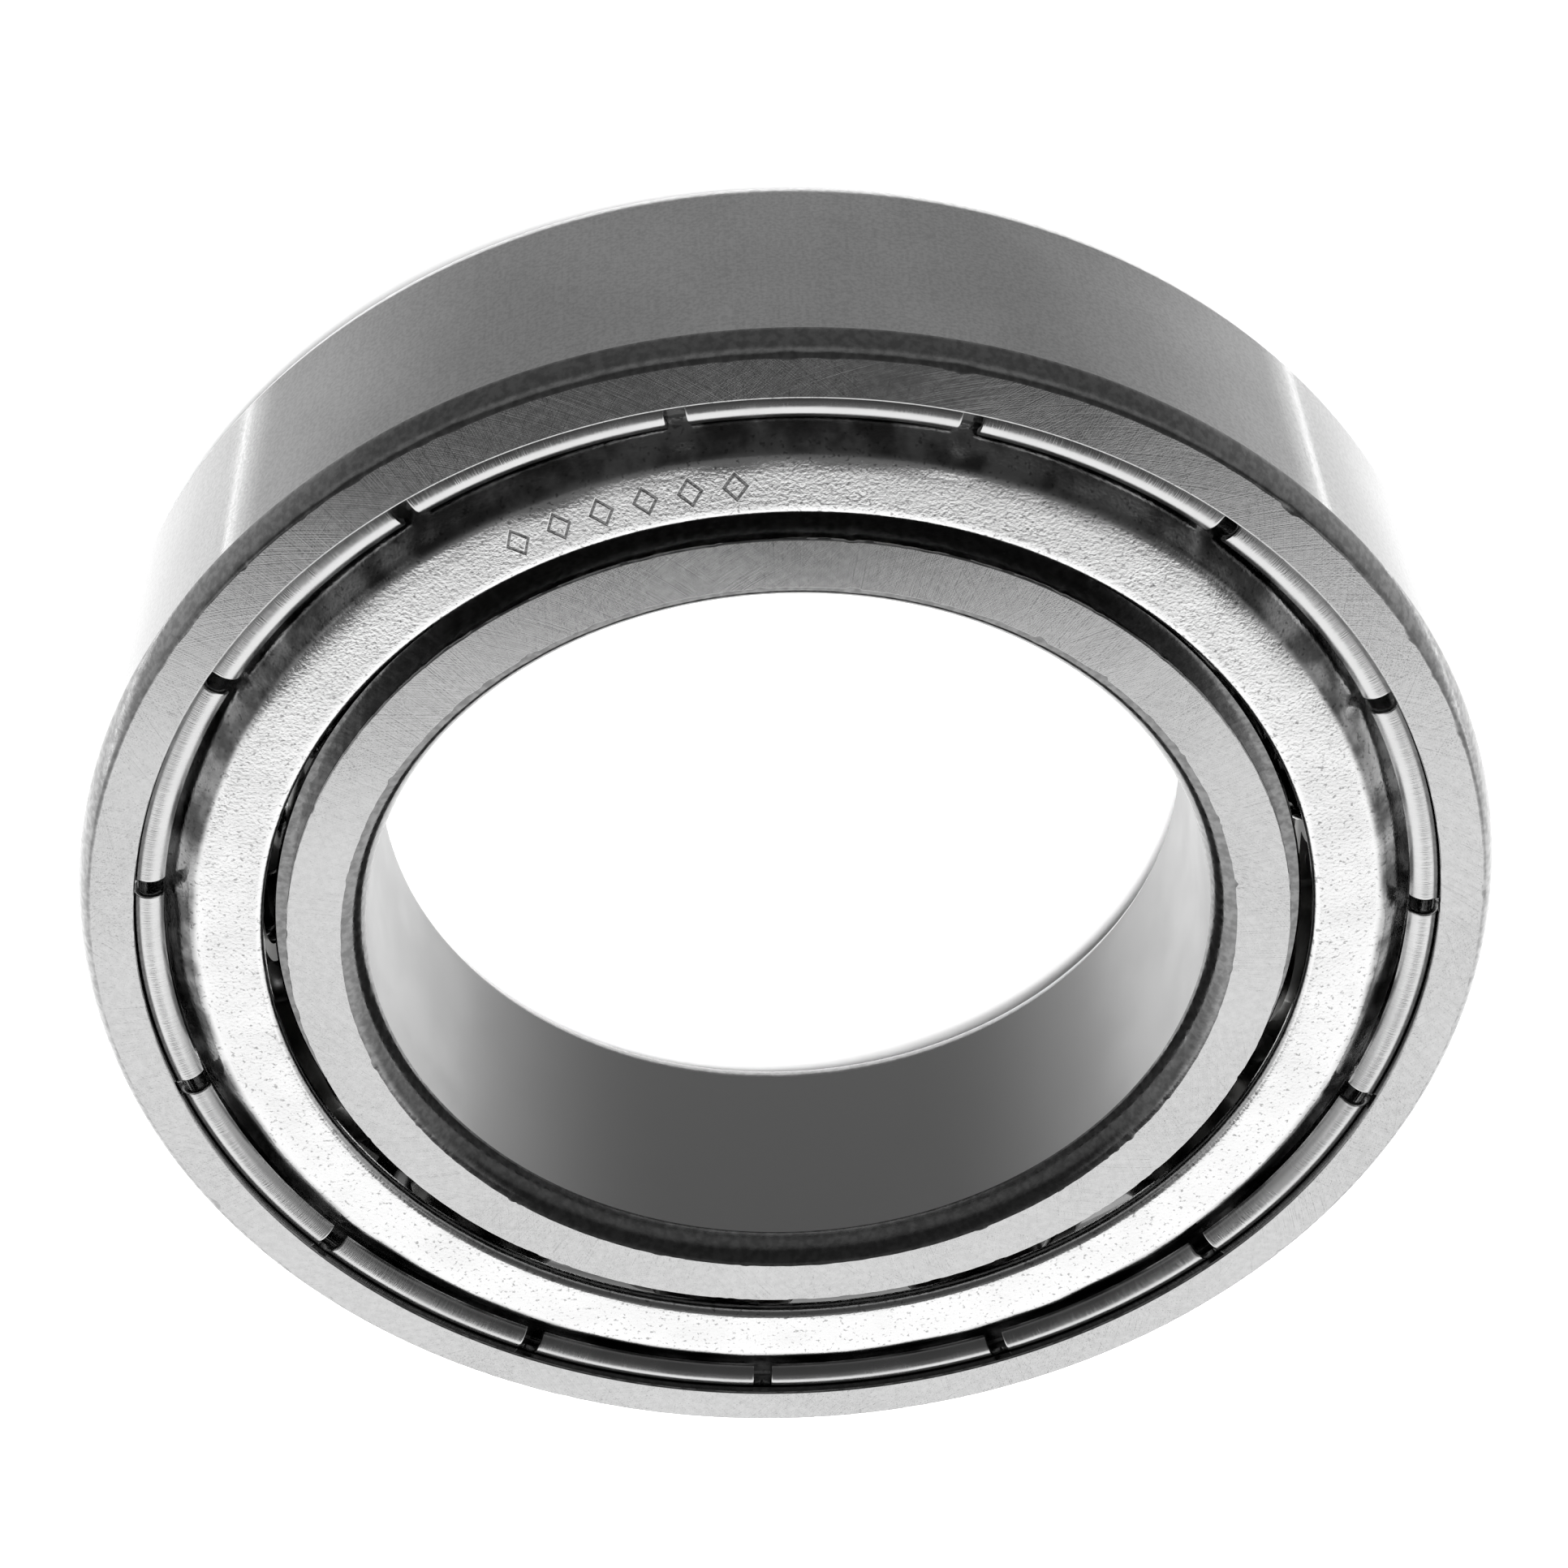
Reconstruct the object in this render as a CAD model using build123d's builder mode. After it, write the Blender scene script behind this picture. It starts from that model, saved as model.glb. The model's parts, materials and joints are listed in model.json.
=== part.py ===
"""Single row deep groove ball bearing, 45 x 75 x 16 mm, with a metal shield on one side.

Millimetres. The bearing axis is Z and the origin is the middle of the bearing, so the
faces of the rings are at z = +8 (the shielded side) and z = -8 (the open side).
Both rings turn from the same blank, so each has its shield groove or labyrinth step on
both sides, although only the +Z side carries a shield.
"""

import os
from math import cos, radians, sin, sqrt, tan

from build123d import *

# Boundary dimensions of the bearing
BORE_RADIUS = 22.5
OUTSIDE_RADIUS = 37.5
WIDTH = 16.0
FACE = WIDTH / 2

# Ball set and raceways
BALL_COUNT = 13
BALL_RADIUS = 8.731 / 2
PITCH_RADIUS = 30.0
BALL_CLEARANCE = 0.006
GROOVE_RADIUS = 0.515 * 2 * BALL_RADIUS

# Ring sections: each corner is a piece of an ellipse, so it meets both faces at an edge
CORNER_AXIAL = 1.5
CORNER_START = 35.0
CORNER_END = 85.0
BORE_CORNER_RADIAL = 1.25
OUTSIDE_CORNER_RADIAL = 0.78
EDGE_BREAK = 0.1
INNER_LAND_RADIUS = 26.6
INNER_SHOULDER_RADIUS = 27.35
STEP_DEPTH = 1.55
OUTER_LAND_RADIUS = 34.5
OUTER_SHOULDER_RADIUS = 32.65
SEAT_DEPTH = 2.0
SNAP_GROOVE_TOP = 0.45
SNAP_GROOVE_DEPTH = 0.48

# Shield: a pressed sheet disc whose rim is curled up and inward into fifteen spring tabs
SHIELD_SHEET = 0.35
SHIELD_TOP_DEPTH = 0.13
LIP_RADIUS = 27.8
LIP_DEPTH = 1.0
LIP_BEND = 0.45
KNEE_RADIUS = 31.36
KNEE_BEND = 0.8
SLOPE_ANGLE = 42.0
FOOT_BEND = 0.5
RIM_BEND = 0.42
RIM_REACH = 34.88
CROWN_RADIUS = 0.825
CROWN_DEPTH = 0.34
TAB_EDGE_RADIUS = 33.13
TAB_COUNT = 15
SLOT_WIDTH = 1.04
SLOT_PHASE = 15.3
SLOT_ROOT_RADIUS = 34.6
SLOT_FLOOR_GAP = 0.03

# Cage: two pressed ribbons, riveted between the balls
CAGE_SHEET = 0.9
CAGE_INNER_RADIUS = 28.2
CAGE_OUTER_RADIUS = 31.8
POCKET_CLEARANCE = 0.15
POCKET_BLEND = 0.35
RIVET_RADIUS = 0.9
RIVET_HEAD_RADIUS = 1.45
RIVET_HEAD_HEIGHT = 0.65
RIVET_HEAD_RIM = 0.15

BALL_PITCH = 360 / BALL_COUNT


def raceway(bottom_radius, shoulder_radius, outward):
    """Groove centre radius and half width where a ring's shoulder cuts its ball groove."""
    centre = bottom_radius - outward * GROOVE_RADIUS
    half_width = sqrt(GROOVE_RADIUS**2 - (shoulder_radius - centre) ** 2)
    return centre, half_width


def corner_ellipse(radial):
    """Radial and axial half axes of the ellipse for a corner with this radial size."""
    start = radians(CORNER_START)
    end = radians(CORNER_END)
    return radial / (cos(start) - cos(end)), CORNER_AXIAL / (sin(end) - sin(start))


def export(builder, label):
    """Label one finished piece and write its STEP file."""
    builder.part.label = label
    export_step(builder.part, f"parts/{label}.step")


os.makedirs("parts", exist_ok=True)
corner_z = FACE - CORNER_AXIAL

# Inner ring: bore, ground side faces, labyrinth steps and the ball groove
inner_bottom = PITCH_RADIUS - BALL_RADIUS - BALL_CLEARANCE
inner_centre, inner_half = raceway(inner_bottom, INNER_SHOULDER_RADIUS, -1)
step_z = FACE - STEP_DEPTH
bore_reach, corner_reach = corner_ellipse(BORE_CORNER_RADIAL)
with BuildPart() as inner_ring:
    with BuildSketch(Plane.XZ) as inner_section:
        with BuildLine() as inner_outline:
            Line((BORE_RADIUS, 0), (BORE_RADIUS, corner_z))
            EllipticalCenterArc(
                (
                    BORE_RADIUS + bore_reach * cos(radians(CORNER_START)),
                    corner_z - corner_reach * sin(radians(CORNER_START)),
                ),
                bore_reach,
                corner_reach,
                start_angle=180 - CORNER_END,
                arc_size=CORNER_END - CORNER_START,
            )
            Polyline(
                (BORE_RADIUS + BORE_CORNER_RADIAL, FACE),
                (INNER_LAND_RADIUS - EDGE_BREAK, FACE),
                (INNER_LAND_RADIUS, FACE - EDGE_BREAK),
                (INNER_LAND_RADIUS, step_z),
                (INNER_SHOULDER_RADIUS - EDGE_BREAK, step_z),
                (INNER_SHOULDER_RADIUS, step_z - EDGE_BREAK),
                (INNER_SHOULDER_RADIUS, inner_half),
            )
            ThreePointArc(
                (INNER_SHOULDER_RADIUS, inner_half),
                (
                    inner_centre - GROOVE_RADIUS * cos(radians(25)),
                    GROOVE_RADIUS * sin(radians(25)),
                ),
                (inner_bottom, 0),
            )
            mirror(about=Plane.XZ)
        make_face()
    revolve(axis=Axis.Z)
export(inner_ring, "inner_ring")

# Outer ring: outside cylinder, ground side faces, shield recesses and the ball groove
outer_bottom = PITCH_RADIUS + BALL_RADIUS + BALL_CLEARANCE
outer_centre, outer_half = raceway(outer_bottom, OUTER_SHOULDER_RADIUS, 1)
seat_z = FACE - SEAT_DEPTH
groove_top_z = FACE - SNAP_GROOVE_TOP
outside_reach, corner_reach = corner_ellipse(OUTSIDE_CORNER_RADIAL)
with BuildPart() as outer_ring:
    with BuildSketch(Plane.XZ) as outer_section:
        with BuildLine() as outer_outline:
            Line((OUTSIDE_RADIUS, 0), (OUTSIDE_RADIUS, corner_z))
            EllipticalCenterArc(
                (
                    OUTSIDE_RADIUS - outside_reach * cos(radians(CORNER_START)),
                    corner_z - corner_reach * sin(radians(CORNER_START)),
                ),
                outside_reach,
                corner_reach,
                start_angle=CORNER_START,
                arc_size=CORNER_END - CORNER_START,
            )
            Polyline(
                (OUTSIDE_RADIUS - OUTSIDE_CORNER_RADIAL, FACE),
                (OUTER_LAND_RADIUS + EDGE_BREAK, FACE),
                (OUTER_LAND_RADIUS, FACE - EDGE_BREAK),
                (OUTER_LAND_RADIUS, groove_top_z),
            )
            ThreePointArc(
                (OUTER_LAND_RADIUS, groove_top_z),
                (OUTER_LAND_RADIUS + SNAP_GROOVE_DEPTH, (groove_top_z + seat_z) / 2),
                (OUTER_LAND_RADIUS, seat_z),
            )
            Polyline(
                (OUTER_LAND_RADIUS, seat_z),
                (OUTER_SHOULDER_RADIUS + EDGE_BREAK, seat_z),
                (OUTER_SHOULDER_RADIUS, seat_z - EDGE_BREAK),
                (OUTER_SHOULDER_RADIUS, outer_half),
            )
            ThreePointArc(
                (OUTER_SHOULDER_RADIUS, outer_half),
                (
                    outer_centre + GROOVE_RADIUS * cos(radians(25)),
                    GROOVE_RADIUS * sin(radians(25)),
                ),
                (outer_bottom, 0),
            )
            mirror(about=Plane.XZ)
        make_face()
    revolve(axis=Axis.Z)
export(outer_ring, "outer_ring")

# Shield: lip, flat, slope down to the seat, and the curled rim cut into spring tabs.
# The path is the middle of the sheet.
half_sheet = SHIELD_SHEET / 2
flat_z = FACE - SHIELD_TOP_DEPTH - half_sheet
foot_z = seat_z + half_sheet
lip_middle = LIP_RADIUS + half_sheet
slope = tan(radians(SLOPE_ANGLE))
foot_radius = KNEE_RADIUS + (flat_z - foot_z) / slope
rim_centre = (RIM_REACH - half_sheet - RIM_BEND, foot_z + RIM_BEND)
crown_z = FACE - CROWN_DEPTH - half_sheet - CROWN_RADIUS
crown_offset = sqrt((CROWN_RADIUS - RIM_BEND) ** 2 - (rim_centre[1] - crown_z) ** 2)
crown_centre = (rim_centre[0] - crown_offset, crown_z)
join_reach = CROWN_RADIUS / (CROWN_RADIUS - RIM_BEND)
join = (
    crown_centre[0] + (rim_centre[0] - crown_centre[0]) * join_reach,
    crown_centre[1] + (rim_centre[1] - crown_centre[1]) * join_reach,
)
tab_edge_z = crown_z + sqrt(CROWN_RADIUS**2 - (crown_centre[0] - TAB_EDGE_RADIUS) ** 2)
slope_cut = half_sheet / cos(radians(SLOPE_ANGLE)) + SLOT_FLOOR_GAP
foot_cut = half_sheet + SLOT_FLOOR_GAP
with BuildPart() as slot_cutter:
    with BuildSketch(Plane.XY.offset(seat_z)) as slots:
        with PolarLocations(SLOT_ROOT_RADIUS - SLOT_WIDTH, TAB_COUNT, start_angle=SLOT_PHASE):
            SlotOverall(2 * SLOT_WIDTH, SLOT_WIDTH)
    extrude(amount=SEAT_DEPTH)
    with BuildSketch(Plane.XZ) as above_the_base:
        with BuildLine() as base_line:
            Polyline(
                (KNEE_RADIUS, flat_z + slope_cut),
                (foot_radius, foot_z + slope_cut),
                (foot_radius, foot_z + foot_cut),
                (OUTSIDE_RADIUS, foot_z + foot_cut),
                (OUTSIDE_RADIUS, FACE),
                (KNEE_RADIUS, FACE),
                (KNEE_RADIUS, flat_z + slope_cut),
            )
        make_face()
    revolve(axis=Axis.Z, mode=Mode.INTERSECT)
with BuildPart() as shield:
    with BuildSketch(Plane.XZ) as shield_section:
        with BuildLine() as shield_path:
            FilletPolyline(
                (lip_middle, FACE - LIP_DEPTH),
                (lip_middle, flat_z),
                (KNEE_RADIUS, flat_z),
                (foot_radius, foot_z),
                (rim_centre[0], foot_z),
                radius=[LIP_BEND, KNEE_BEND, FOOT_BEND],
            )
            ThreePointArc(
                (rim_centre[0], foot_z),
                (
                    rim_centre[0] + RIM_BEND * sin(radians(45)),
                    rim_centre[1] - RIM_BEND * cos(radians(45)),
                ),
                join,
            )
            ThreePointArc(
                join,
                (crown_centre[0], crown_z + CROWN_RADIUS),
                (TAB_EDGE_RADIUS, tab_edge_z),
            )
        trace(line_width=SHIELD_SHEET)
    revolve(axis=Axis.Z)
    add(slot_cutter.part, mode=Mode.SUBTRACT)
export(shield, "shield")

# Balls
for number in range(BALL_COUNT):
    with BuildPart() as ball:
        with PolarLocations(PITCH_RADIUS, 1, start_angle=number * BALL_PITCH):
            Sphere(BALL_RADIUS)
    export(ball, f"ball_{number + 1:02d}")

# Cage halves: a flat ribbon with a pocket over each ball, and rivet holes between.
# A pocket's outside is a ball shape that flares into the flat with a small radius.
pocket_radius = BALL_RADIUS + POCKET_CLEARANCE
form_radius = pocket_radius + CAGE_SHEET
blend_centre_z = CAGE_SHEET + POCKET_BLEND
blend_centre_x = sqrt((form_radius + POCKET_BLEND) ** 2 - blend_centre_z**2)
blend_start = form_radius / (form_radius + POCKET_BLEND)
with BuildPart() as pocket_form:
    with BuildSketch(Plane.XZ) as pocket_section:
        with BuildLine() as pocket_outline:
            Polyline((0, form_radius), (0, 0), (blend_centre_x, 0), (blend_centre_x, CAGE_SHEET))
            RadiusArc(
                (blend_centre_x, CAGE_SHEET),
                (blend_centre_x * blend_start, blend_centre_z * blend_start),
                POCKET_BLEND,
            )
            RadiusArc(
                (blend_centre_x * blend_start, blend_centre_z * blend_start),
                (0, form_radius),
                -form_radius,
            )
        make_face()
    revolve(axis=Axis.Z)
with BuildPart() as upper_half:
    with PolarLocations(PITCH_RADIUS, BALL_COUNT):
        add(pocket_form.part)
    with BuildSketch(Plane.XY) as ribbon:
        Circle(CAGE_OUTER_RADIUS)
        Circle(CAGE_INNER_RADIUS, mode=Mode.SUBTRACT)
    extrude(ribbon.sketch, amount=FACE, mode=Mode.INTERSECT)
    extrude(ribbon.sketch, amount=CAGE_SHEET)
    with PolarLocations(PITCH_RADIUS, BALL_COUNT):
        Sphere(pocket_radius, mode=Mode.SUBTRACT)
    with PolarLocations(PITCH_RADIUS, BALL_COUNT, start_angle=BALL_PITCH / 2):
        Cylinder(RIVET_RADIUS, 3 * CAGE_SHEET, mode=Mode.SUBTRACT)
export(upper_half, "cage_half_shield_side")
with BuildPart() as lower_half:
    mirror(upper_half.part, about=Plane.XY)
export(lower_half, "cage_half_open_side")

# Rivets: a shank through both halves with a domed head at each end
dome_height = RIVET_HEAD_HEIGHT - RIVET_HEAD_RIM
dome_radius = (RIVET_HEAD_RADIUS**2 + dome_height**2) / (2 * dome_height)
for number in range(BALL_COUNT):
    angle = radians((number + 0.5) * BALL_PITCH)
    middle = Vector(PITCH_RADIUS * cos(angle), PITCH_RADIUS * sin(angle), 0)
    with BuildPart() as rivet:
        with BuildSketch(Plane(origin=middle, x_dir=(1, 0, 0), z_dir=(0, -1, 0))) as rivet_section:
            with BuildLine() as rivet_outline:
                Polyline(
                    (RIVET_RADIUS, 0),
                    (RIVET_RADIUS, CAGE_SHEET),
                    (RIVET_HEAD_RADIUS, CAGE_SHEET),
                    (RIVET_HEAD_RADIUS, CAGE_SHEET + RIVET_HEAD_RIM),
                )
                RadiusArc(
                    (RIVET_HEAD_RADIUS, CAGE_SHEET + RIVET_HEAD_RIM),
                    (0, CAGE_SHEET + RIVET_HEAD_HEIGHT),
                    -dome_radius,
                )
                mirror(about=Plane.XZ)
                Line((0, -CAGE_SHEET - RIVET_HEAD_HEIGHT), (0, CAGE_SHEET + RIVET_HEAD_HEIGHT))
            make_face()
        revolve(axis=Axis(middle, (0, 0, 1)))
    export(rivet, f"rivet_{number + 1:02d}")
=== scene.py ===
"""Looks of a 45 x 75 x 16 mm ball bearing with a metal shield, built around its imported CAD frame.

The rings and the shield are rebuilt here. The balls, the cage and the rivets keep their CAD
shapes and only get materials. Sections are written in millimetres, as (radius, height) about
the bearing's axis, and every mesh is made in metres in the frame's own axes.
"""

import json
import math

import bpy
import numpy as np
from mathutils import Euler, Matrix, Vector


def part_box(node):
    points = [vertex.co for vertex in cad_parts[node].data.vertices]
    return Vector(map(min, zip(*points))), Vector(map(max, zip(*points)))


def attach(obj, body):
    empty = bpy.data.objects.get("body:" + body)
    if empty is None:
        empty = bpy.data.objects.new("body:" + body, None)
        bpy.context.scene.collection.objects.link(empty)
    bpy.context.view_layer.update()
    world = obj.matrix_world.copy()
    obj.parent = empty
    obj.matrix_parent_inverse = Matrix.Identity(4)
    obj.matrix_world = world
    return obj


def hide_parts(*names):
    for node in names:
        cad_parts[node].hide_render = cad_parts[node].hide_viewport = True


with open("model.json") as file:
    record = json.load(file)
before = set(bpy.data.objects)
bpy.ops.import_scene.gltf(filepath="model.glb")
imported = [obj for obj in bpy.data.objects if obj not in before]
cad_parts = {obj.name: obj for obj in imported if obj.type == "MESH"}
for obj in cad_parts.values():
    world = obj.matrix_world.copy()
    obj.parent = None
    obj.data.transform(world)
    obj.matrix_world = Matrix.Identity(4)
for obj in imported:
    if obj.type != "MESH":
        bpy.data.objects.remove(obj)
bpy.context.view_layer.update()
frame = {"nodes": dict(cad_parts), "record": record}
MM = 0.001

# ---------------------------------------------------------------- sizes, in millimetres
ring_low, ring_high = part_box("outer_ring")
inner_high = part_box("inner_ring")[1]
ball_low, ball_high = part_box("ball_01")
FACE = ring_high[2] / MM
OUTSIDE = ring_high[0] / MM
BORE = frame["record"]["mounts"][0]["dims"]["r_mm"]
BALL_R = ball_high[2] / MM
PITCH_R = (ball_low[0] + ball_high[0]) / 2 / MM
GROOVE_R = 1.03 * BALL_R
# Clearance between each ball and the bottom of its groove in either ring.
BALL_GAP = 0.006
# A ring's corner is the part of an ellipse between these two angles, in degrees.
CORNER_START = 35
CORNER_END = 85
CORNER_AXIAL = 1.5
BORE_CORNER = 1.25
OUTSIDE_CORNER = 0.78
EDGE = 0.1
INNER_LAND = 26.6
INNER_SHOULDER = inner_high[0] / MM
STEP_DEPTH = 1.55
OUTER_LAND = 34.5
OUTER_SHOULDER = 32.65
SEAT_DEPTH = 2.0
SNAP_TOP = 0.45
SNAP_DEPTH = 0.48

SHEET = 0.35
SHIELD_TOP = 0.13
LIP_R = 27.8
LIP_DEPTH = 1.0
LIP_BEND = 0.28
KNEE_R = 31.36
KNEE_BEND = 0.8
SLOPE = math.radians(42)
FOOT_BEND = 0.5
RIM_BEND = 0.42
RIM_REACH = 34.88
CROWN_R = 0.825
CROWN_DEPTH = 0.34
TAB_EDGE_R = 33.13
TAB_COUNT = 15
SLOT_WIDTH = 1.04
SLOT_ROOT = 34.6
SLOT_PHASE = math.radians(15.3)
EDGE_ROLL = 0.07

# How far the pressed sheet stands off its true section, and where.
WAVE_HEIGHT = 0.02
WAVE_COUNT = 40
WAVE_SEED = 5
DISH_FROM = 28.2
DISH_TO = 30.5
DISH_LEVEL = 29.4
DISH_SLOPE = 0.017
FALL_FROM = 30.3
FALL_REACH = 0.8
FALL_SCALE = 35
VALLEY_R = 32.1
BULGE_HEIGHT = 0.05
BULGE_WIDTH = 1.7
DENT_R = 32.15
DENT_SIZE = 0.75
DEEP_DENT = 0.16
SHALLOW_DENT = 0.07
DEEP_SHARE = 0.35

# Uneven face edges.
NICK_COUNT = 45
NICK_REACH = 0.16

# Row of diamonds on the shield's flat.
MARK_R = 29.7
MARK_PITCH = 2.2
MARK_SIZE = 0.56
MARK_LINE = 0.06
MARK_SQUASH = 0.75
MARK_COUNT = 6
MARK_START = math.radians(87)

# Where the materials change tone: each begins at the first number and is full at the second.
# Painted shade in the shield's valley under the tabs.
VALLEY_SHADE = (31.1, 31.6)
TAB_TONE = (32.9, 33.1)
TAB_TONE_HEIGHT = (6.9, 7.2)
# Where the turned surfaces' painted shade ends: darker inward, lighter on the outer corner.
OUTER_CORNER_TONE = (35.2, 36.4)

FLOOR_GAP = 0.02

# Longest run along the sheet's section, and where straight runs get a point near each end.
SHEET_STEP = 0.26
GUARD = 0.015

# ---------------------------------------------------------------- surroundings, in metres
FLOOR_HALF = 0.8
LAMP_SIZE = 1.2

# ---------------------------------------------------------------- counts
RING_SEGMENTS = 720
GROOVE_STEPS = 18
TAB_COLUMNS = 37
random = np.random.default_rng(11)


# ---------------------------------------------------------------- node helpers
class Graph:
    """A node tree with short ways to add nodes and maths."""

    def __init__(self, tree):
        self.tree = tree
        tree.nodes.clear()

    def add(self, kind, **inputs):
        """A node of this kind. Each input is a number, a colour or another node's output."""
        node = self.tree.nodes.new(kind)
        for name, value in inputs.items():
            self.feed(node.inputs[name.replace("_", " ")], value)
        return node

    def feed(self, socket, value):
        """Links an output to the socket, or sets the socket's own value."""
        if isinstance(value, bpy.types.NodeSocket):
            self.tree.links.new(value, socket)
        else:
            socket.default_value = value

    def math(self, operation, *values):
        node = self.tree.nodes.new("ShaderNodeMath")
        node.operation = operation
        for socket, value in zip(node.inputs, values):
            self.feed(socket, value)
        return node.outputs[0]

    def times(self, first, second):
        return self.math("MULTIPLY", first, second)

    def plus(self, first, second):
        return self.math("ADD", first, second)

    def across(self, x, y):
        """How far the place at x and y is from the axis."""
        return self.math("SQRT", self.plus(self.times(x, x), self.times(y, y)))

    def stairs(self, value, steps):
        """A level that starts at 0 and rises in steps, each given as (start, end, rise)."""
        level = 0.0
        for start, end, rise in steps:
            level = self.plus(level, self.ramp(value, start, end, 0.0, rise))
        return level

    def vector(self, operation, *values):
        node = self.tree.nodes.new("ShaderNodeVectorMath")
        node.operation = operation
        for socket, value in zip(node.inputs, values):
            self.feed(socket, value)
        return node.outputs["Vector"]

    def ramp(self, value, start, end, low=0.0, high=1.0):
        """low to high as value goes from start to end, with soft ends."""
        node = self.tree.nodes.new("ShaderNodeMapRange")
        node.interpolation_type = "SMOOTHSTEP"
        for name, number in zip(("From Min", "From Max", "To Min", "To Max"), (start, end, low, high)):
            self.feed(node.inputs[name], number)
        self.feed(node.inputs["Value"], value)
        return node.outputs[0]

    def mix(self, factor, low, high):
        """low where factor is 0, high where it is 1, and beyond high where it is more."""
        node = self.tree.nodes.new("ShaderNodeMix")
        node.data_type = "FLOAT"
        node.clamp_factor = False
        self.feed(node.inputs[0], factor)
        self.feed(node.inputs[2], low)
        self.feed(node.inputs[3], high)
        return node.outputs[0]

    def noise(self, vector, scale, detail, rough=0.5):
        node = self.add("ShaderNodeTexNoise", Vector=vector, Scale=scale, Detail=detail, Roughness=rough)
        return node.outputs["Fac"]

    def combine(self, x, y, z):
        return self.add("ShaderNodeCombineXYZ", X=x, Y=y, Z=z).outputs[0]


# ---------------------------------------------------------------- camera, floor and light
def make_camera():
    """Looks down on the shield from the -Y side, turned upside down."""
    data = bpy.data.cameras.new("camera")
    data.lens = 79.0
    data.clip_start = 0.01
    camera = bpy.data.objects.new("camera", data)
    camera.location = (0.0051, -0.12036, 0.14564)
    camera.rotation_euler = Euler([math.radians(a) for a in (-38.32, -1.98, 180.0)])
    bpy.context.scene.collection.objects.link(camera)
    bpy.context.scene.camera = camera


def make_floor():
    """A matt white surface just under the rings, so that it doesn't coincide with their lower
    faces. Steel doesn't mirror it, and sees the world's dim lower part instead."""
    half = FLOOR_HALF
    z = ring_low[2] - FLOOR_GAP * MM
    corners = [(-half, -half, z), (half, -half, z), (half, half, z), (-half, half, z)]
    mesh = bpy.data.meshes.new("floor")
    mesh.from_pydata(corners, [], [(0, 1, 2, 3)])
    floor = bpy.data.objects.new("floor", mesh)
    bpy.context.scene.collection.objects.link(floor)
    material = bpy.data.materials.new("floor_white")
    material.use_nodes = True
    graph = Graph(material.node_tree)
    surface = graph.add("ShaderNodeBsdfDiffuse", Color=(0.9, 0.9, 0.9, 1))
    graph.add("ShaderNodeOutputMaterial", Surface=surface.outputs[0])
    mesh.materials.append(material)
    floor.visible_glossy = False


# Where the wall of light begins, as the sine of the angle round from the side to the back,
# where it is full, and how much it adds.
LOW_WALL = ((-0.75, 0.2, 0.36), (0.16, 0.27, 0.42), (0.3, 0.8, 0.3))
HIGH_WALL = ((-0.2, 0.2, 0.25), (0.32, 0.78, 0.75))
WALL_TURNS_HIGH = (-0.1, 0.2)
WALL_ENDS = (0.78, 0.842)
SEAM_BEGINS = (0.285, 0.29)
SEAM_ENDS = (0.3, 0.305)
SEAM_LEVEL = 3.0
# Levels away from the wall, from straight down at 0 to straight up at 1.
DIM_STOPS = (
    (0.0, 0.45),
    (0.065, 0.29),
    (0.12, 0.2),
    (0.19, 0.09),
    (0.48, 0.08),
    (0.58, 0.17),
    (0.67, 0.15),
    (0.77, 0.04),
    (1.0, 0.05),
)
WORLD_STRENGTH = 1.3


def make_world():
    """A studio seen by direction: a wall of light behind the bearing, which reaches round to
    the camera's side low down and ends part way up, a narrow brighter seam in it on either
    side, and dim surroundings elsewhere. The camera itself sees plain white."""
    world = bpy.data.worlds.new("studio")
    bpy.context.scene.world = world
    world.use_nodes = True
    graph = Graph(world.node_tree)
    direction = graph.add("ShaderNodeTexCoord").outputs["Generated"]
    split = graph.add("ShaderNodeSeparateXYZ", Vector=direction)
    x, y, z = split.outputs
    behind = graph.math("DIVIDE", y, graph.math("MAXIMUM", graph.across(x, y), 0.001))
    seam = graph.times(graph.ramp(behind, *SEAM_BEGINS), graph.ramp(behind, *SEAM_ENDS, SEAM_LEVEL, 0.0))
    low_wall = graph.math("MAXIMUM", graph.stairs(behind, LOW_WALL), seam)
    high_wall = graph.times(graph.stairs(behind, HIGH_WALL), graph.ramp(z, *WALL_ENDS, 1.0, 0.05))
    wall = graph.mix(graph.ramp(z, *WALL_TURNS_HIGH), low_wall, high_wall)
    dim = graph.add("ShaderNodeValToRGB", Fac=graph.math("MULTIPLY_ADD", z, 0.5, 0.5))
    elements = dim.color_ramp.elements
    while len(elements) < len(DIM_STOPS):
        elements.new(0.5)
    for element, (place, level) in zip(elements, DIM_STOPS):
        element.position = place
        element.color = (level, level, level, 1)
    level = graph.times(graph.mix(wall, dim.outputs[0], 1.0), WORLD_STRENGTH)
    seen = graph.mix(graph.add("ShaderNodeLightPath").outputs["Is Camera Ray"], level, 1.0)
    background = graph.add("ShaderNodeBackground", Color=(1, 1, 1, 1), Strength=seen)
    graph.add("ShaderNodeOutputWorld", Surface=background.outputs[0])


def make_lamps():
    """Two broad soft lamps that light the floor. Steel doesn't mirror them."""
    for name, place, power in (("key", (0.2, 0.5, 0.9), 40.0), ("fill", (-0.4, -0.5, 0.8), 30.0)):
        data = bpy.data.lights.new(name, "AREA")
        data.shape = "DISK"
        data.size = LAMP_SIZE
        data.energy = power
        lamp = bpy.data.objects.new(name, data)
        lamp.location = place
        toward = -lamp.location
        lamp.rotation_euler = toward.to_track_quat("-Z", "Y").to_euler()
        lamp.visible_glossy = False
        lamp.visible_camera = False
        bpy.context.scene.collection.objects.link(lamp)


make_camera()
make_floor()
make_world()
make_lamps()
bpy.context.scene.view_settings.view_transform = "Standard"


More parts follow.
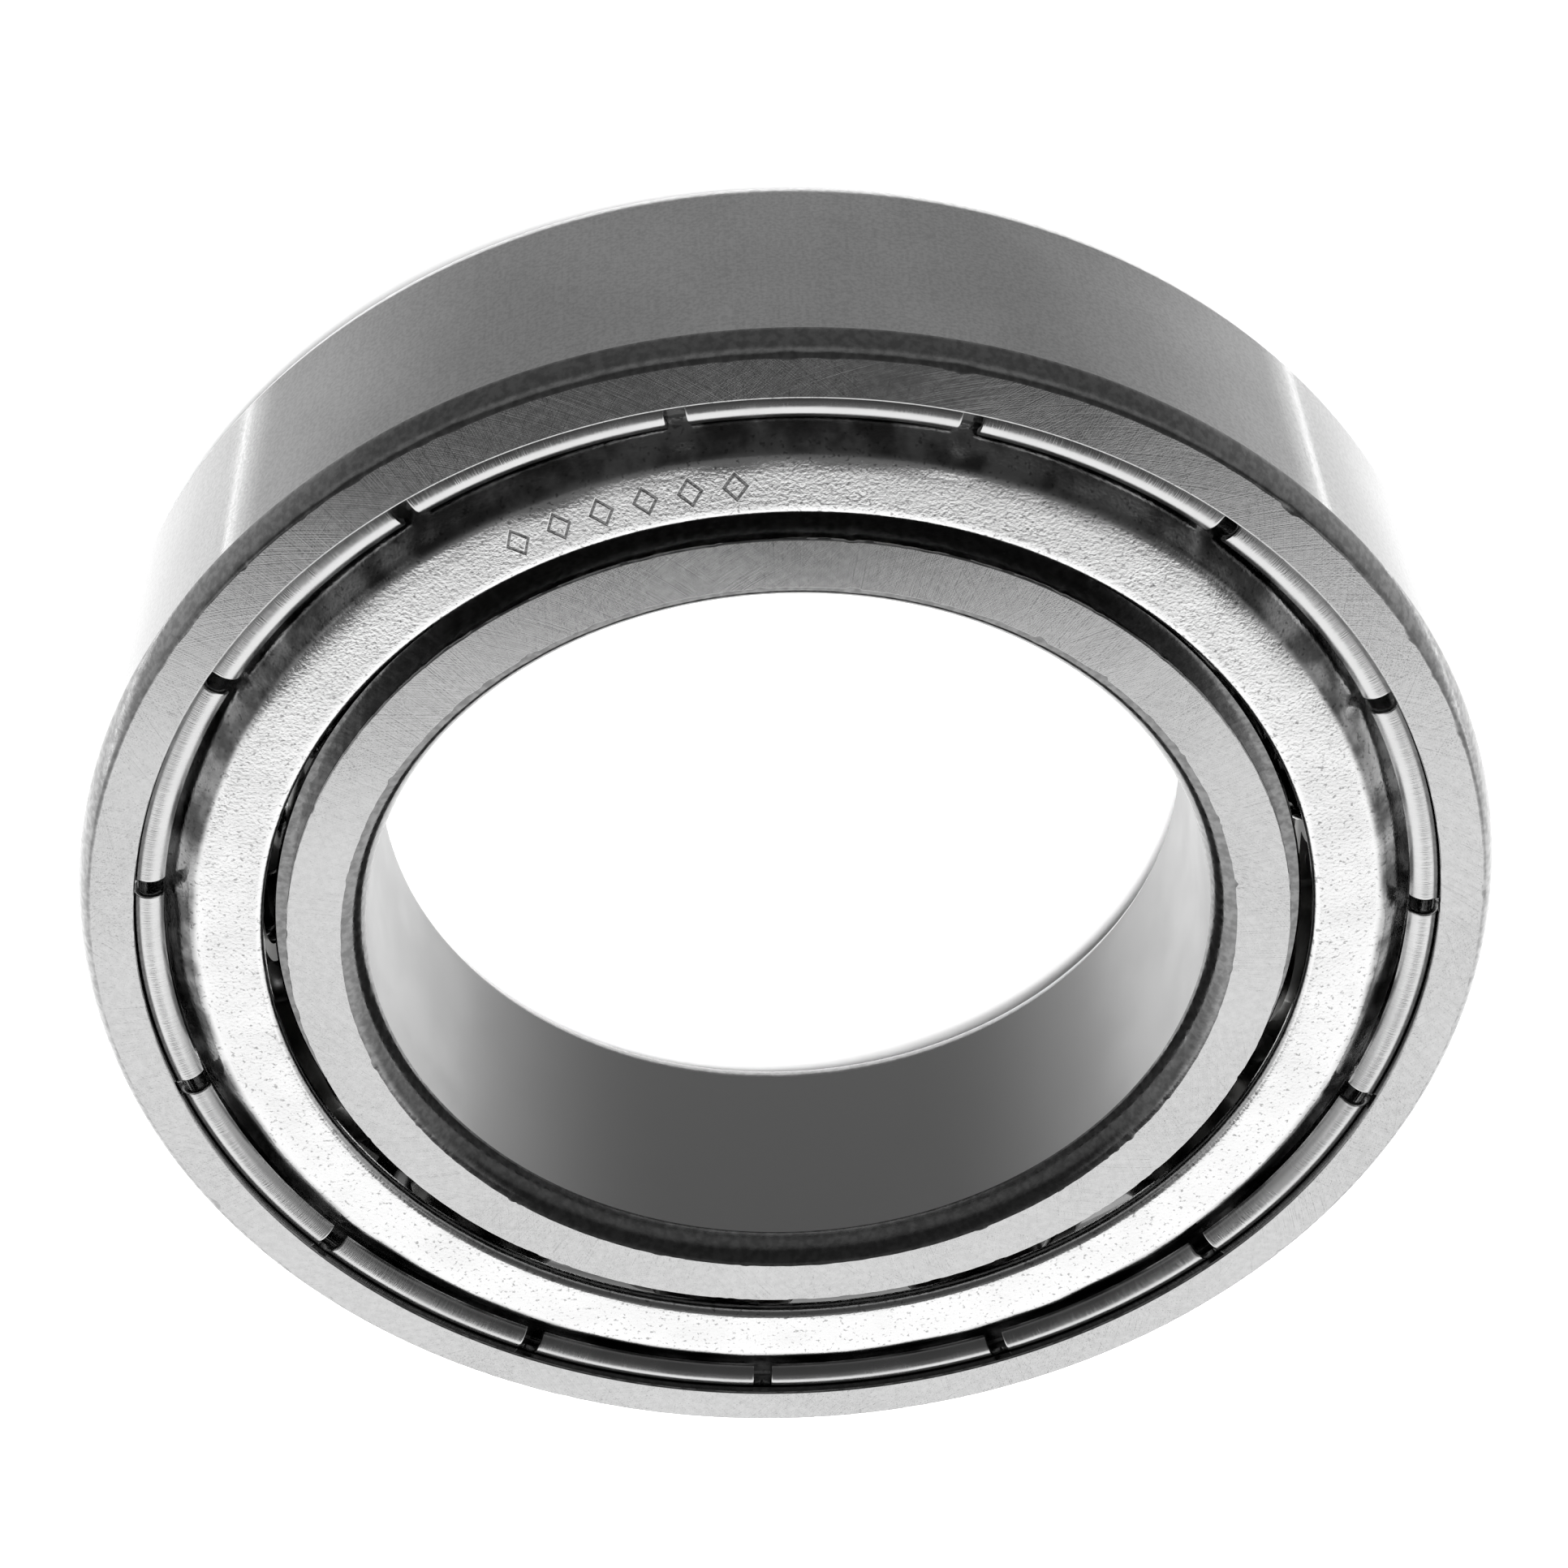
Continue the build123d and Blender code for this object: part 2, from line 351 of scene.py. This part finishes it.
# ---------------------------------------------------------------- materials
def steel(name, tint, roughness, build):
    """A metal. build(graph, object coordinates in metres, shader) adds its surface detail, and
    the tint and roughness hold wherever build doesn't set its own."""
    material = bpy.data.materials.new(name)
    material.use_nodes = True
    graph = Graph(material.node_tree)
    shader = graph.add("ShaderNodeBsdfPrincipled", Metallic=1.0, Roughness=roughness)
    shader.inputs["Base Color"].default_value = (*tint, 1)
    graph.add("ShaderNodeOutputMaterial", Surface=shader.outputs[0])
    build(graph, graph.add("ShaderNodeTexCoord").outputs["Object"], shader)
    return material


def bump(graph, height, distance, strength):
    return graph.add("ShaderNodeBump", Height=height, Distance=distance, Strength=strength).outputs[0]


def tone(graph, shader, level, shade):
    """A grey base colour: level, varied by shade."""
    grey = graph.times(shade, level)
    graph.feed(shader.inputs["Base Color"], graph.combine(grey, grey, grey))


def polar(graph, place):
    """Radius and angle about the axis, and height, of a place."""
    split = graph.add("ShaderNodeSeparateXYZ", Vector=place)
    x, y, z = split.outputs
    return graph.across(x, y), graph.math("ARCTAN2", y, x), z


def between(limits):
    """Limits written in millimetres, in metres."""
    return limits[0] * MM, limits[1] * MM


def angular(graph, angle, round_scale, other, other_scale, seed, detail):
    """Noise with its own scale round the axis and along the other direction."""
    stretched = graph.combine(graph.times(angle, round_scale), graph.times(other, other_scale), seed)
    return graph.noise(stretched, 1.0, detail)


def strokes(graph, place, lean, across, along, seed):
    """Fine lines that cross a ring's face at a lean, in radians per metre of radius."""
    radius, _, _ = polar(graph, place)
    turned = graph.tree.nodes.new("ShaderNodeVectorRotate")
    turned.rotation_type = "Z_AXIS"
    flat = graph.vector("MULTIPLY", place, (1, 1, 0))
    graph.feed(turned.inputs["Vector"], graph.vector("NORMALIZE", flat))
    graph.feed(turned.inputs["Angle"], graph.times(radius, lean))
    split = graph.add("ShaderNodeSeparateXYZ", Vector=turned.outputs[0])
    x = graph.times(split.outputs[0], across)
    y = graph.times(split.outputs[1], across)
    return graph.noise(graph.combine(x, y, graph.math("MULTIPLY_ADD", radius, along, seed)), 1.0, 2.0, 0.6)


# Lean, scale across the line, scale along it, and seed of each family of grinding lines.
GRINDING = ((0, 420, 300, 3), (24, 460, 260, 17), (-32, 440, 280, 31), (70, 500, 240, 47))


def ground_face(graph, place, shader):
    """Fine crossing lines left by grinding, stronger in some places than others."""
    marks = 0.0
    for lean, across, along, seed in GRINDING:
        line = graph.math("SUBTRACT", strokes(graph, place, lean, across, along, seed), 0.5)
        area = graph.noise(graph.vector("ADD", place, (seed, 0, 0)), 90, 2.0)
        patch = graph.ramp(area, 0.35, 0.65, 0.4, 1.3)
        marks = graph.plus(marks, graph.times(line, patch))
    graph.feed(shader.inputs["Normal"], bump(graph, marks, 0.000005, 0.3))
    cloud = graph.noise(place, 2600, 4.0)
    graph.feed(shader.inputs["Roughness"], graph.ramp(cloud, 0.3, 0.7, 0.05, 0.09))
    scratch = graph.ramp(graph.math("ABSOLUTE", marks), 0.05, 0.45, 1.12, 0.7)
    tone(graph, shader, 0.46, graph.times(scratch, graph.ramp(cloud, 0.3, 0.7, 0.95, 1.05)))


def satin(graph, place, shader):
    """Dull and finely grained."""
    cloud = graph.noise(place, 250, 4.0)
    graph.feed(shader.inputs["Roughness"], graph.ramp(cloud, 0.3, 0.7, 0.3, 0.36))
    graph.feed(shader.inputs["Normal"], bump(graph, graph.noise(place, 9000, 2.0), 0.000004, 0.5))


def side_wall(graph, place, shader):
    """Ground on the outside: faint upright streaks, a cloudy haze and fine specks."""
    _, angle, z = polar(graph, place)
    streak = angular(graph, angle, 60.0, z, 60.0, 0.0, 3.0)
    haze = graph.noise(place, 120, 4.0)
    both = graph.plus(graph.times(streak, 0.5), graph.times(haze, 0.5))
    graph.feed(shader.inputs["Roughness"], graph.ramp(both, 0.35, 0.65, 0.05, 0.1))
    graph.feed(shader.inputs["Normal"], bump(graph, graph.noise(place, 12000, 2.0), 0.000002, 0.4))
    fine = angular(graph, angle, 260.0, z, 90.0, 5.0, 2.0)
    shade = graph.times(graph.ramp(fine, 0.35, 0.65, 0.97, 1.02), graph.ramp(haze, 0.35, 0.65, 0.93, 1.03))
    speck = graph.ramp(graph.noise(place, 5200, 2.0), 0.35, 0.7, 1.05, 0.86)
    tone(graph, shader, 0.48, graph.times(shade, speck))


def turned(graph, place, shader):
    """Turned and tumbled, so mottled close up. Painted shade darkens the gaps beside the shield,
    and the bore's corner is darker than the outside's."""
    radius, _, _ = polar(graph, place)
    cloud = graph.noise(place, 2200, 4.0)
    graph.feed(shader.inputs["Roughness"], graph.ramp(cloud, 0.35, 0.65, 0.1, 0.2))
    graph.feed(shader.inputs["Normal"], bump(graph, graph.noise(place, 5000, 3.0), 0.00001, 0.5))
    # Painted shade: turned surfaces inward of the outer corner, the gaps beside the shield among them, get a
    # darker base colour.
    level = graph.plus(0.22, graph.ramp(radius, *between(OUTER_CORNER_TONE), 0.0, 0.2))
    tone(graph, shader, level, graph.ramp(graph.noise(place, 2500, 3.0), 0.35, 0.65, 0.8, 1.15))


def polished(graph, place, shader):
    """Smooth, with a slight change of gloss from place to place."""
    graph.feed(shader.inputs["Roughness"], graph.ramp(graph.noise(place, 600, 3.0), 0.35, 0.65, 0.06, 0.12))


def diamonds(graph, radius, angle):
    """Where a short row of small plain diamonds is marked on the shield's flat."""
    along = graph.times(graph.plus(angle, MARK_START), MARK_R / MARK_PITCH)
    ends = graph.ramp(along, MARK_COUNT, MARK_COUNT + 0.01, 1.0, 0.0)
    inside = graph.times(graph.ramp(along, 0.0, 0.01), ends)
    off = graph.math("ABSOLUTE", graph.math("SUBTRACT", graph.math("FRACT", along), 0.5))
    out = graph.math("ABSOLUTE", graph.math("SUBTRACT", radius, MARK_R * MM))
    size = graph.plus(graph.times(off, MARK_PITCH * MM), graph.times(out, MARK_SQUASH))
    line = graph.math("ABSOLUTE", graph.math("SUBTRACT", size, MARK_SIZE * MM))
    return graph.times(inside, graph.ramp(line, MARK_LINE * MM, 2 * MARK_LINE * MM, 1.0, 0.0))


def pebbled(graph, place, shader):
    """Rolled sheet stretched by pressing: an orange-peel surface with small dark pits. Painted
    shade darkens the valley under the tabs, mottled, and the tabs are brushed across."""
    radius, angle, z = polar(graph, place)
    peel = graph.noise(place, 5200, 3.0)
    cloud = graph.noise(place, 350, 3.0)
    on_tab = graph.times(graph.ramp(radius, *between(TAB_TONE)), graph.ramp(z, *between(TAB_TONE_HEIGHT)))
    off_tab = graph.ramp(on_tab, 0.0, 1.0, 1.0, 0.0)
    # Painted shade: the valley under the tabs gets a darker base colour.
    valley = graph.times(graph.ramp(radius, *between(VALLEY_SHADE)), off_tab)
    brush = angular(graph, angle, 700.0, radius, 900.0, 0.0, 2.0)
    mark = diamonds(graph, radius, angle)
    height = graph.plus(graph.mix(on_tab, peel, brush), graph.times(cloud, 1.5))
    height = graph.math("SUBTRACT", height, graph.times(mark, 3.0))
    graph.feed(shader.inputs["Normal"], bump(graph, height, 0.00002, 0.6))
    rough = graph.math("MULTIPLY_ADD", on_tab, 0.06, graph.ramp(cloud, 0.3, 0.7, 0.13, 0.22))
    graph.feed(shader.inputs["Roughness"], rough)
    # Painted shade: noise sets how dark the valley is, from 0.2 to 0.75 of the sheet's tone.
    valley_shade_mottle = graph.ramp(graph.noise(place, 380, 5.0), 0.38, 0.62, 0.2, 0.75)
    shade = graph.times(graph.mix(valley, 1.0, valley_shade_mottle), graph.ramp(on_tab, 0.0, 1.0, 1.0, 0.8))
    pits = graph.mix(on_tab, graph.ramp(graph.noise(place, 3800, 3.0), 0.3, 0.42, 0.5, 1.0), 1.0)
    shade = graph.times(shade, graph.times(pits, graph.ramp(mark, 0.0, 1.0, 1.0, 0.3)))
    tone(graph, shader, 0.78, shade)


STEEL = (0.48, 0.48, 0.48)
ring_face = steel("ring_face", STEEL, 0.2, ground_face)
ring_side = steel("ring_side", STEEL, 0.14, side_wall)
ring_bore = steel("ring_bore", (0.42, 0.42, 0.42), 0.36, satin)
ring_turned = steel("ring_turned", (0.46, 0.46, 0.46), 0.16, turned)
raceway = steel("raceway", (0.55, 0.55, 0.55), 0.12, polished)
shield_sheet = steel("shield_sheet", (0.74, 0.74, 0.74), 0.2, pebbled)
cage_steel = steel("cage_steel", (0.42, 0.42, 0.41), 0.3, satin)
rivet_steel = steel("rivet_steel", (0.4, 0.4, 0.4), 0.3, satin)
ball_steel = steel("ball_steel", (0.65, 0.65, 0.65), 0.06, polished)
RING_MATERIALS = [ring_face, ring_side, ring_bore, ring_turned, raceway]
FACE_ZONE, SIDE_ZONE, BORE_ZONE, TURNED_ZONE, RACE_ZONE = range(5)


# ---------------------------------------------------------------- sections
def arc(centre, radii, start, end, steps):
    """Points along an elliptical arc, from start to end in degrees."""
    angles = np.radians(np.linspace(start, end, steps + 1))
    return [(centre[0] + radii[0] * math.cos(a), centre[1] + radii[1] * math.sin(a)) for a in angles]


def straight(start, end, steps=1):
    """Points along a straight line, with one close to each end so that shading stays flat."""
    start, end = np.array(start), np.array(end)
    guard = min(GUARD / np.linalg.norm(end - start), 0.3)
    shares = sorted({*np.linspace(0, 1, steps + 1), guard, 1 - guard})
    return [tuple(start + (end - start) * share) for share in shares]


def corner(edge, radial, sign):
    """A ring's corner from its cylinder at radius edge to its face: a piece of an ellipse."""
    start, end = math.radians(CORNER_START), math.radians(CORNER_END)
    reach = radial / (math.cos(start) - math.cos(end))
    height = CORNER_AXIAL / (math.sin(end) - math.sin(start))
    centre = (edge - sign * reach * math.cos(start), FACE - CORNER_AXIAL - height * math.sin(start))
    return arc(centre, (sign * reach, height), CORNER_START, CORNER_END, 10)


def join(*stretches):
    """One outline from stretches of (points, zone), and the zone of each of its edges."""
    outline, zones = [stretches[0][0][0]], []
    for points, zone in stretches:
        outline += points[1:]
        zones += [zone] * (len(points) - 1)
    return outline, zones


def mirrored(outline, zones):
    """A closed section from its upper half, which starts and ends at height 0."""
    lower = [(r, -z) for r, z in outline[-2:0:-1]]
    return outline + lower, zones + zones[::-1]


def inner_section():
    """Bore, corner, ground face, wall, step, shoulder and ball groove of the inner ring."""
    corner_z = FACE - CORNER_AXIAL
    step_z = FACE - STEP_DEPTH
    groove_centre = PITCH_R - BALL_R - BALL_GAP + GROOVE_R
    half_angle = math.degrees(math.acos((groove_centre - INNER_SHOULDER) / GROOVE_R))
    groove_z = GROOVE_R * math.sin(math.radians(half_angle))
    shoulder_z = step_z - EDGE
    return mirrored(*join(
        (straight((BORE, 0), (BORE, corner_z), 2), BORE_ZONE),
        (corner(BORE, BORE_CORNER, -1), TURNED_ZONE),
        (straight((BORE + BORE_CORNER, FACE), (INNER_LAND - EDGE, FACE), 3), FACE_ZONE),
        (arc((INNER_LAND - EDGE, FACE - EDGE), (EDGE, EDGE), 90, 0, 3), FACE_ZONE),
        (straight((INNER_LAND, FACE - EDGE), (INNER_LAND, step_z)), TURNED_ZONE),
        (straight((INNER_LAND, step_z), (INNER_SHOULDER - EDGE, step_z)), TURNED_ZONE),
        (straight((INNER_SHOULDER - EDGE, step_z), (INNER_SHOULDER, shoulder_z)), TURNED_ZONE),
        (straight((INNER_SHOULDER, shoulder_z), (INNER_SHOULDER, groove_z)), SIDE_ZONE),
        (arc((groove_centre, 0), (GROOVE_R, GROOVE_R), 180 - half_angle, 180, GROOVE_STEPS), RACE_ZONE),
    ))


def outer_section():
    """Outside, corner, ground face, recess, snap groove, seat, shoulder and ball groove."""
    corner_z = FACE - CORNER_AXIAL
    seat_z = FACE - SEAT_DEPTH
    top_z = FACE - SNAP_TOP
    half = (top_z - seat_z) / 2
    snap_r = (half**2 + SNAP_DEPTH**2) / (2 * SNAP_DEPTH)
    snap_angle = math.degrees(math.asin(half / snap_r))
    snap_centre = (OUTER_LAND + SNAP_DEPTH - snap_r, (top_z + seat_z) / 2)
    groove_centre = PITCH_R + BALL_R + BALL_GAP - GROOVE_R
    half_angle = math.degrees(math.acos((OUTER_SHOULDER - groove_centre) / GROOVE_R))
    groove_z = GROOVE_R * math.sin(math.radians(half_angle))
    shoulder_z = seat_z - EDGE
    return mirrored(*join(
        (straight((OUTSIDE, 0), (OUTSIDE, corner_z), 2), SIDE_ZONE),
        (corner(OUTSIDE, OUTSIDE_CORNER, 1), TURNED_ZONE),
        (straight((OUTSIDE - OUTSIDE_CORNER, FACE), (OUTER_LAND + EDGE, FACE), 3), FACE_ZONE),
        (arc((OUTER_LAND + EDGE, FACE - EDGE), (EDGE, EDGE), 90, 180, 3), FACE_ZONE),
        (straight((OUTER_LAND, FACE - EDGE), (OUTER_LAND, top_z)), TURNED_ZONE),
        (arc(snap_centre, (snap_r, snap_r), snap_angle, -snap_angle, 10), TURNED_ZONE),
        (straight((OUTER_LAND, seat_z), (OUTER_SHOULDER + EDGE, seat_z)), TURNED_ZONE),
        (straight((OUTER_SHOULDER + EDGE, seat_z), (OUTER_SHOULDER, shoulder_z)), TURNED_ZONE),
        (straight((OUTER_SHOULDER, shoulder_z), (OUTER_SHOULDER, groove_z)), SIDE_ZONE),
        (arc((groove_centre, 0), (GROOVE_R, GROOVE_R), half_angle, 0, GROOVE_STEPS), RACE_ZONE),
    ))


# ---------------------------------------------------------------- meshes
def new_piece(name, points, faces, materials, zones=None, sharp=30):
    """An object from points in metres, smooth except where faces meet at over sharp degrees."""
    mesh = bpy.data.meshes.new(name)
    mesh.from_pydata(points, [], faces)
    for material in materials:
        mesh.materials.append(material)
    if zones is not None:
        mesh.polygons.foreach_set("material_index", zones)
    mesh.shade_smooth()
    mesh.set_sharp_from_angle(angle=math.radians(sharp))
    piece = bpy.data.objects.new(name, mesh)
    bpy.context.scene.collection.objects.link(piece)
    return piece


def nicks(deep, many):
    """Uneven turned edge: how far it wanders at each segment, with a few deeper nicks."""
    wander = np.convolve(random.normal(size=RING_SEGMENTS + 2), (0.25, 0.5, 0.25), "valid") * deep / 6
    for place in random.integers(0, RING_SEGMENTS, many):
        wander[place : place + random.integers(1, 4)] -= random.uniform(0.3, 1.0) * deep
    return wander


def lathe(name, section, zones, materials, ragged):
    """A ring from a closed section turned about the axis. ragged holds, for each face edge that
    isn't clean, its radius, its worst nick and the direction that the nick cuts in."""
    section = np.array(section)
    count = len(section)
    turn = np.arange(RING_SEGMENTS) * 2 * math.pi / RING_SEGMENTS
    radius = np.tile(section[:, 0], (RING_SEGMENTS, 1))
    for edge, deep, sign in ragged:
        for side in (1, -1):
            on_side = side * section[:, 1] > FACE - CORNER_AXIAL
            near = np.exp(-(((section[:, 0] - edge) / NICK_REACH) ** 2)) * on_side
            radius += sign * nicks(deep, NICK_COUNT)[:, None] * near
    points = np.empty((RING_SEGMENTS, count, 3))
    points[:, :, 0] = np.cos(turn)[:, None] * radius
    points[:, :, 1] = np.sin(turn)[:, None] * radius
    points[:, :, 2] = section[:, 1]
    here = np.arange(RING_SEGMENTS)[:, None] * count
    there = (np.arange(RING_SEGMENTS)[:, None] + 1) % RING_SEGMENTS * count
    along = np.arange(count)[None, :]
    after = (along + 1) % count
    faces = np.stack([here + along, there + along, there + after, here + after], axis=-1)
    every_zone = np.tile(np.array(zones, dtype=np.int32), RING_SEGMENTS)
    return new_piece(name, points.reshape(-1, 3) * MM, faces.reshape(-1, 4).tolist(), materials, every_zone)


outer_edges = ((OUTSIDE - OUTSIDE_CORNER, 0.12, 1),)
outer_ring = lathe("outer_ring_body", *outer_section(), RING_MATERIALS, outer_edges)
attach(outer_ring, "outer_group")
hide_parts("outer_ring")

inner_edges = ((BORE + BORE_CORNER, 0.1, -1), (INNER_LAND, 0.05, 1))
inner_ring = lathe("inner_ring_body", *inner_section(), RING_MATERIALS, inner_edges)
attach(inner_ring, "inner_group")
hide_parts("inner_ring")


# ---------------------------------------------------------------- the shield's sheet
# Depth of the dent in the valley at each slot. This is drawn after the rings' nicks.
DENTS = np.where(random.random(TAB_COUNT) < DEEP_SHARE, DEEP_DENT, SHALLOW_DENT)


def bent_path(corners, radii):
    """A path of straight runs with a rounded bend at each inner corner."""
    points = [np.array(corners[0])]
    for before, corner, after, radius in zip(corners, corners[1:], corners[2:], radii):
        corner = np.array(corner)
        back = (before - corner) / np.linalg.norm(before - corner)
        ahead = (after - corner) / np.linalg.norm(after - corner)
        half = math.acos(back @ ahead) / 2
        middle = corner + (back + ahead) / np.linalg.norm(back + ahead) * radius / math.sin(half)
        start = corner + back * radius / math.tan(half) - middle
        end = corner + ahead * radius / math.tan(half) - middle
        turn = math.atan2(start[0] * end[1] - start[1] * end[0], start @ end)
        steps = max(4, round(abs(turn) / math.radians(11)))
        for angle in np.linspace(0, turn, steps + 1):
            c, s = math.cos(angle), math.sin(angle)
            points.append(middle + (start[0] * c - start[1] * s, start[0] * s + start[1] * c))
    return points + [np.array(corners[-1])]


def refined(points, step):
    """The same path with no run longer than step."""
    result = [points[0]]
    for start, end in zip(points, points[1:]):
        parts = max(1, math.ceil(np.linalg.norm(end - start) / step))
        result += [start + (end - start) * i / parts for i in range(1, parts + 1)]
    return result


def shield_path():
    """The middle of the sheet from the lip to the tabs' free edge, and the row where slots start."""
    half = SHEET / 2
    flat_z = FACE - SHIELD_TOP - half
    foot_z = FACE - SEAT_DEPTH + half
    foot_r = KNEE_R + (flat_z - foot_z) / math.tan(SLOPE)
    rim = np.array((RIM_REACH - half - RIM_BEND, foot_z + RIM_BEND))
    crown_z = FACE - CROWN_DEPTH - half - CROWN_R
    crown = np.array((rim[0] - math.sqrt((CROWN_R - RIM_BEND) ** 2 - (rim[1] - crown_z) ** 2), crown_z))
    meet = math.degrees(math.atan2(rim[1] - crown[1], rim[0] - crown[0]))
    lip = LIP_R + half
    corners = [(lip, FACE - LIP_DEPTH), (lip, flat_z), (KNEE_R, flat_z), (foot_r, foot_z), (rim[0], foot_z)]
    body = refined(bent_path(corners, (LIP_BEND, KNEE_BEND, FOOT_BEND)), SHEET_STEP)
    root = math.degrees(math.acos((SLOT_ROOT - crown[0]) / CROWN_R))
    free = math.degrees(math.acos((TAB_EDGE_R - crown[0]) / CROWN_R))
    body += [np.array(p) for p in arc(rim, (RIM_BEND, RIM_BEND), -90, meet, 10)[1:]]
    body += [np.array(p) for p in arc(crown, (CROWN_R, CROWN_R), root, root, 1)[1:]]
    slot_row = len(body) - 1
    angles = [root + a for a in (0.4, 1.2, 2.6, 4.6, 7.5, 11.5, 16.5, 22, 28, 35)]
    angles += list(np.linspace(root + 41, free - 4, 11)) + [free - 1, free]
    body += [crown + CROWN_R * np.array((math.cos(a), math.sin(a))) for a in np.radians(angles)]
    return np.array(body), slot_row


def rolled(distance):
    """Half the sheet's thickness at this distance from a cut edge, which is slightly rounded."""
    inside = np.clip(EDGE_ROLL - distance, 0, EDGE_ROLL)
    return SHEET / 2 - EDGE_ROLL + np.sqrt(EDGE_ROLL**2 - inside**2)


def waves(angle, count, seed):
    """A smooth seeded function of the angle about the axis, mostly within 1 of zero."""
    maker = np.random.default_rng(seed)
    total = np.zeros_like(angle)
    for turns in range(2, count):
        total += maker.normal() * np.cos(turns * angle + maker.uniform(0, 2 * math.pi))
    return total / math.sqrt(count / 2)


def pressed(radius, angle):
    """How far the sheet stands off its true section. The flat is dished and falls off towards
    the knee, and the slope and valley have slow waves, with a bulge and a dent at each slot."""
    offset = np.zeros_like(radius)
    on_slope = np.clip((radius - KNEE_R + 0.6) / 0.8, 0, 1) * np.clip((33.6 - radius) / 0.6, 0, 1)
    offset += WAVE_HEIGHT * waves(angle, WAVE_COUNT, WAVE_SEED) * on_slope
    offset += DISH_SLOPE * (np.clip(radius, DISH_FROM, DISH_TO) - DISH_LEVEL)
    offset -= np.clip(radius - FALL_FROM, 0, FALL_REACH) ** 2 / FALL_SCALE
    for number in range(TAB_COUNT):
        slot = SLOT_PHASE + number * 2 * math.pi / TAB_COUNT
        away = ((angle - slot + math.pi) % (2 * math.pi) - math.pi) * VALLEY_R
        side = np.hypot(away, radius - DENT_R)
        offset -= DENTS[number] * np.clip(1 - (side / DENT_SIZE) ** 2, 0, None) ** 2
        offset += BULGE_HEIGHT * np.exp(-((away / BULGE_WIDTH) ** 2)) * on_slope
    return offset


def make_shield():
    """The sheet as one closed mesh: a whole ring up to the slots, and separate tabs beyond."""
    path, slot_row = shield_path()
    rows = len(path)
    tangent = np.gradient(path, axis=0)
    tangent /= np.linalg.norm(tangent, axis=1)[:, None]
    normal = np.stack([-tangent[:, 1], tangent[:, 0]], axis=1)
    length = np.concatenate([[0], np.cumsum(np.linalg.norm(np.diff(path, axis=0), axis=1))])
    spread = np.linspace(0, 1, TAB_COLUMNS)
    spread = spread - 0.7 * np.sin(2 * math.pi * spread) / (2 * math.pi)
    fine = (0.0015, 0.0054)
    share = np.sort(np.concatenate([spread, fine, 1 - np.array(fine)]))
    columns = len(share) - 1
    reach = path[:, 0] - (SLOT_ROOT - SLOT_WIDTH / 2)
    half_gap = np.sqrt(np.clip((SLOT_WIDTH / 2) ** 2 - np.clip(reach, 0, None) ** 2, 0, None))
    half_gap[: slot_row + 1] = 0
    gap_angle = np.arcsin(half_gap / path[:, 0])
    sector = 2 * math.pi / TAB_COUNT
    start = SLOT_PHASE + sector * np.arange(TAB_COUNT)
    angle = start[None, :, None] + gap_angle[:, None, None] + (sector - 2 * gap_angle[:, None, None]) * share
    radius = np.broadcast_to(path[:, 0, None, None], angle.shape)
    from_side = np.minimum(share, 1 - share) * sector * 33.7
    thick = rolled(np.minimum(length, length[-1] - length))[:, None, None] * np.ones_like(angle)
    thick[slot_row + 1 :] = np.minimum(thick[slot_row + 1 :], rolled(from_side))
    offset = pressed(radius, angle)
    offset[slot_row - 8 :] = 0
    ring = TAB_COUNT * columns
    index = np.empty((2, rows, TAB_COUNT, columns + 1), dtype=np.int64)
    whole = slot_row + 1
    turn = (np.arange(TAB_COUNT)[:, None] * columns + np.arange(columns + 1)) % ring
    index[0, :whole] = np.arange(whole)[:, None, None] * ring + turn
    tab = np.arange(TAB_COUNT * (columns + 1)).reshape(TAB_COUNT, columns + 1)
    index[0, whole:] = whole * ring + np.arange(rows - whole)[:, None, None] * tab.size + tab
    index[1] = index[0] + index[0].max() + 1
    points = np.empty((index.max() + 1, 3))
    for side, sign in ((0, 1), (1, -1)):
        out = offset + sign * thick
        r = radius + normal[:, 0, None, None] * out
        z = path[:, 1, None, None] + normal[:, 1, None, None] * out
        points[index[side]] = np.stack([r * np.cos(angle), r * np.sin(angle), z], axis=-1)
    top, low = index
    cut = slice(slot_row, None)

    def quads(a, b, c, d):
        return np.stack([a, b, c, d], axis=-1).reshape(-1, 4)

    faces = [
        quads(top[:-1, :, :-1], top[1:, :, :-1], top[1:, :, 1:], top[:-1, :, 1:]),
        quads(low[:-1, :, 1:], low[1:, :, 1:], low[1:, :, :-1], low[:-1, :, :-1]),
        quads(top[0, :, :-1], top[0, :, 1:], low[0, :, 1:], low[0, :, :-1]),
        quads(top[-1, :, 1:], top[-1, :, :-1], low[-1, :, :-1], low[-1, :, 1:]),
        quads(top[cut][1:, :, 0], top[cut][:-1, :, 0], low[cut][:-1, :, 0], low[cut][1:, :, 0]),
        quads(top[cut][:-1, :, -1], top[cut][1:, :, -1], low[cut][1:, :, -1], low[cut][:-1, :, -1]),
    ]
    return new_piece("shield_body", points * MM, np.concatenate(faces).tolist(), [shield_sheet], sharp=40)


shield = make_shield()
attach(shield, "outer_group")
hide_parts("shield")

# ---------------------------------------------------------------- CAD nodes that keep their shape
finishes = {"ball": ball_steel, "cage": cage_steel, "rivet": rivet_steel}
for name, node in frame["nodes"].items():
    finish = finishes.get(name.split("_")[0])
    if finish:
        node.data.materials.clear()
        node.data.materials.append(finish)
        node.data.shade_smooth()
        node.data.set_sharp_from_angle(angle=math.radians(30))
